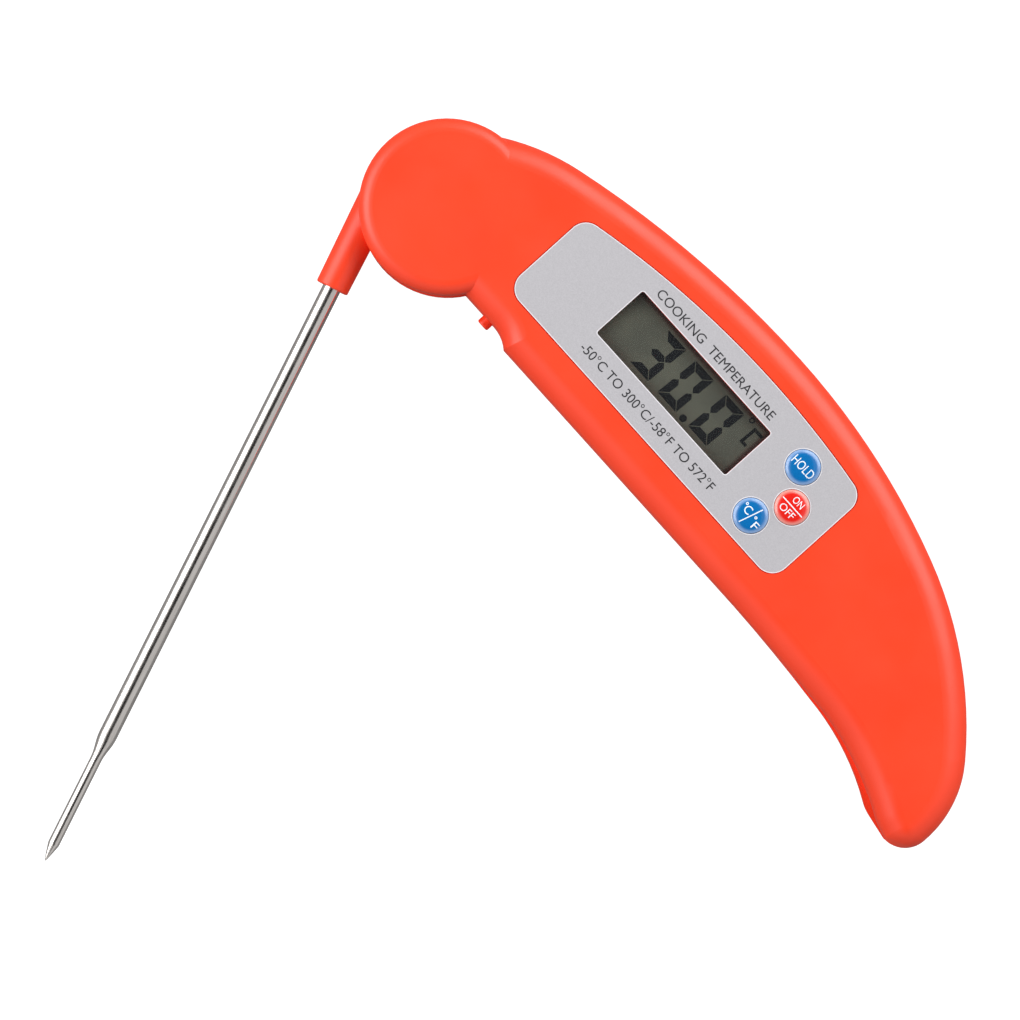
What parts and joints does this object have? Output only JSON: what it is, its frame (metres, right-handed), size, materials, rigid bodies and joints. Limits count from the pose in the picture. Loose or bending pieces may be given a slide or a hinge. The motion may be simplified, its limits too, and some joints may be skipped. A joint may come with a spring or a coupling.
{
  "type": "folding digital meat thermometer",
  "caption": "Crescent handle with an LCD, three push buttons and a steel probe on an arm that folds into the handle's hollow side.",
  "frame": {"origin": "the probe arm's hinge axis, on the handle's flat back", "axes": "+X along the display's long side towards the tail, +Y towards the handle's convex edge, +Z out of the display face"},
  "size_m": [0.1573, 0.1611, 0.0185],
  "materials": {
    "red_abs": "moulded ABS, fine satin texture",
    "silver_label": "silver printed polyester film",
    "clear_lens": "clear acrylic",
    "lcd_film": "olive-grey polarising film",
    "lcd_glass": "clear glass",
    "reflector_film": "silvered film",
    "black_plastic": "moulded black plastic",
    "zebra_rubber": "striped silicone rubber",
    "board": "green solder mask on glass epoxy",
    "resin": "black epoxy",
    "ceramic_chips": "chip components",
    "zinc_steel": "zinc-plated steel",
    "nickel_spring": "nickel-plated spring strip",
    "cell_steel": "nickel-plated steel can",
    "seal_rubber": "black nitrile rubber",
    "stainless": "drawn and polished stainless steel",
    "blue_button": "glossy blue cap",
    "red_button": "glossy red cap",
    "acetal": "natural acetal",
    "bead_glass": "glass bead",
    "wire": "enamelled copper lead"
  },
  "bodies": {
    "handle": {"front_shell": "red_abs", "rear_shell": "red_abs", "display_label": "silver_label", "display_window": "clear_lens", "lcd_front_polariser": "lcd_film", "lcd_glass_front": "lcd_glass", "lcd_glass_rear": "lcd_glass", "lcd_reflector": "reflector_film", "lcd_frame": "black_plastic", "zebra_strips": "zebra_rubber", "circuit_board": "board", "chip_blob": "resin", "smd_passives": "ceramic_chips", "tact_switches": "black_plastic", "fold_switch": "black_plastic", "board_screws": "zinc_steel", "housing_screws": "zinc_steel", "pivot_screw": "zinc_steel", "pivot_bush": "zinc_steel", "wave_washer": "nickel_spring", "plunger_spring": "nickel_spring", "battery_contact_negative": "nickel_spring", "battery_contact_positive": "nickel_spring", "battery_cell": "cell_steel", "thrust_washer": "acetal", "handle_wires": "wire"},
    "probe_arm": {"arm_hub": "red_abs", "probe_tube": "stainless", "thermistor_bead": "bead_glass", "probe_wires": "wire"},
    "hold_button": {"hold_button": "blue_button"},
    "power_button": {"power_button": "red_button"},
    "unit_button": {"unit_button": "blue_button"},
    "fold_plunger": {"fold_plunger": "red_abs"},
    "battery_door": {"battery_door": "red_abs", "battery_door_seal": "seal_rubber"}
  },
  "joints": [
    {"name": "probe_fold", "type": "hinge", "parent": "handle", "child": "probe_arm", "pos_m": [0, 0, 0.009], "axis": [0, 0, 1], "range_deg": [-112.9, 67.1]},
    {"name": "hold_button_press", "type": "slide", "parent": "handle", "child": "hold_button", "axis": [0, 0, -1], "range_m": [0, 0.0004], "stiffness_N_per_m": 800},
    {"name": "power_button_press", "type": "slide", "parent": "handle", "child": "power_button", "axis": [0, 0, -1], "range_m": [0, 0.0004], "stiffness_N_per_m": 800},
    {"name": "unit_button_press", "type": "slide", "parent": "handle", "child": "unit_button", "axis": [0, 0, -1], "range_m": [0, 0.0004], "stiffness_N_per_m": 800},
    {"name": "plunger_press", "type": "slide", "parent": "handle", "child": "fold_plunger", "axis": [0, 1, 0], "range_m": [0, 0.0006], "stiffness_N_per_m": 500, "deforming": ["plunger_spring"]},
    {"name": "door_turn", "type": "hinge", "parent": "handle", "child": "battery_door", "pos_m": [0.1035, 0.006, 0.001], "axis": [0, 0, 1], "range_deg": [0, 40]}
  ]
}
